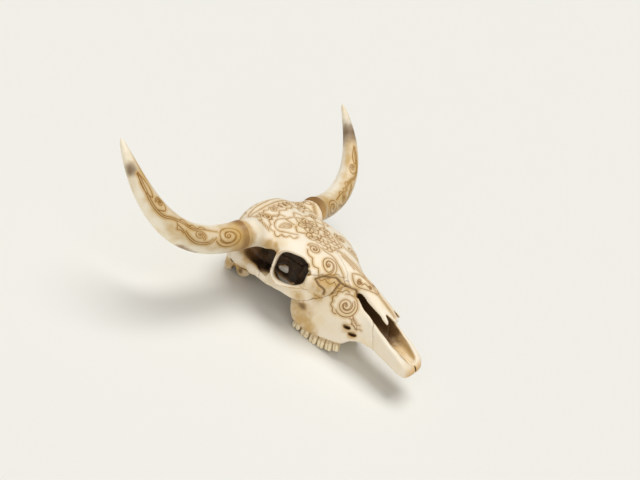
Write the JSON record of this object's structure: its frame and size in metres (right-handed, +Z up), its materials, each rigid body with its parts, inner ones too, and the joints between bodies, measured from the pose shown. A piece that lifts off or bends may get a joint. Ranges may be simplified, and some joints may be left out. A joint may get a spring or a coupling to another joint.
{
  "type": "engraved bull skull",
  "caption": "Bull's skull without its lower jaw, with upswept horns and scrollwork engraved in the bone, lying on its cheek teeth and the knobs behind the ears.",
  "frame": {"origin": "on the floor under the middle of the skull's bounding box", "axes": "+Z up, +X to the animal's left along the span of the horns, -Y towards the nose"},
  "size_m": [0.8006, 0.6146, 0.3062],
  "materials": {
    "bone": "dry ivory-coloured bone, polished on the forehead, with brown-stained engraving and golden stain in the recesses",
    "horn": "polished pale horn with an engraved, stained strip, a brown root ring and a dark band below the tip"
  },
  "bodies": {
    "root": {"frontal": "bone", "braincase": "bone", "nasal_left": "bone", "nasal_right": "bone", "lacrimal_left": "bone", "lacrimal_right": "bone", "zygomatic_left": "bone", "zygomatic_right": "bone", "maxilla_left": "bone", "maxilla_right": "bone", "premaxilla_left": "bone", "premaxilla_right": "bone", "horn_left": "horn", "horn_right": "horn"}
  },
  "joints": []
}
